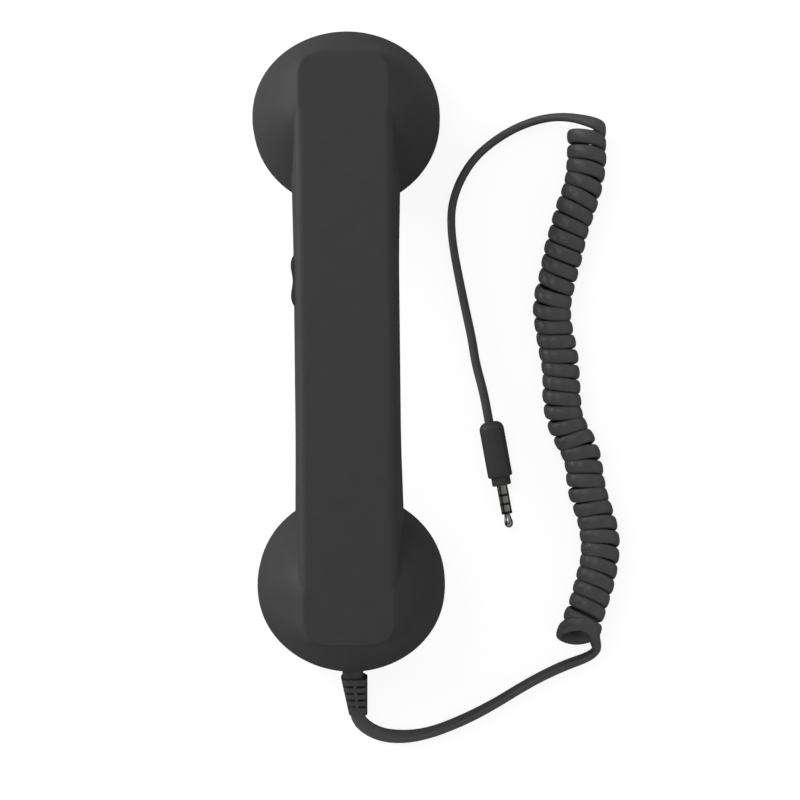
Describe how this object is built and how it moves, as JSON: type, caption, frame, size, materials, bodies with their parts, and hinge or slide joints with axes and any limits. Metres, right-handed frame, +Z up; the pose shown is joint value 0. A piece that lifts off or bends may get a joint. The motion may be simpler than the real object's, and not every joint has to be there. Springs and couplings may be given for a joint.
{
  "type": "telephone handset",
  "caption": "Retro telephone handset with round tilted caps, side volume rocker, call button, curly cord and jack plug.",
  "frame": {"origin": "on the surface it lies on, under the middle of the handset", "axes": "+X across the handle, away from the volume rocker; +Y along the handle to the earpiece; +Z up, out of the handle's flat back"},
  "size_m": [0.1164, 0.2317, 0.057],
  "materials": {
    "soft_touch": "soft-touch lacquer on ABS",
    "key": "matte moulded",
    "relief": "moulded PVC, satin",
    "cord": "satin PVC jacket",
    "boot": "matte moulded PVC",
    "plug_metal": "nickel plated, polished",
    "insulator": "smooth",
    "steel": "zinc plated",
    "housing_plastic": "moulded",
    "copper": "enamelled winding",
    "film": "thin polyester film",
    "circuit_board": "solder mask",
    "silicone": "matte",
    "aluminium": "drawn can",
    "cloth": "fine woven mesh",
    "foam": "closed-cell foam",
    "wire": "thin PVC insulation"
  },
  "bodies": {
    "handset": {"back_shell": "soft_touch", "front_shell": "soft_touch", "earpiece_cap": "soft_touch", "mouthpiece_cap": "soft_touch", "strain_relief": "relief", "cord_lead": "cord", "cord_coil": "cord", "cord_tail": "cord", "plug_boot": "boot", "plug_collar": "boot", "plug_sleeve": "plug_metal", "plug_ring_1": "plug_metal", "plug_ring_2": "plug_metal", "plug_tip": "plug_metal", "plug_insulator_1": "insulator", "plug_insulator_2": "insulator", "plug_insulator_3": "insulator", "rocker_pin": "steel", "handle_weight": "steel", "weight_screws": "steel", "shell_screws": "steel", "board_screws": "steel", "speaker_frame": "housing_plastic", "speaker_magnet": "steel", "voice_coil": "copper", "speaker_diaphragm": "film", "speaker_terminal_board": "circuit_board", "control_board": "circuit_board", "control_chip": "housing_plastic", "volume_switches": "housing_plastic", "volume_domes": "silicone", "call_dome": "silicone", "microphone_boot": "silicone", "microphone_capsule": "aluminium", "dust_cloth": "cloth", "earpiece_gasket": "foam", "speaker_leads": "wire", "microphone_leads": "wire", "cord_inner_end": "cord"},
    "rocker": {"volume_rocker": "key"},
    "call_button": {"call_button": "key"}
  },
  "joints": [
    {"name": "volume_rock", "type": "hinge", "parent": "handset", "child": "rocker", "pos_m": [-0.011, 0.0213, 0.044], "axis": [0, 0, 1], "range_deg": [-2.5, 2.5], "stiffness_Nm_per_rad": 0.05, "deforming": ["volume_domes"]},
    {"name": "call_press", "type": "slide", "parent": "handset", "child": "call_button", "axis": [0, 0, 1], "range_m": [0, 0.0006], "stiffness_N_per_m": 400, "springref_m": -0.0005, "deforming": ["call_dome"]}
  ]
}
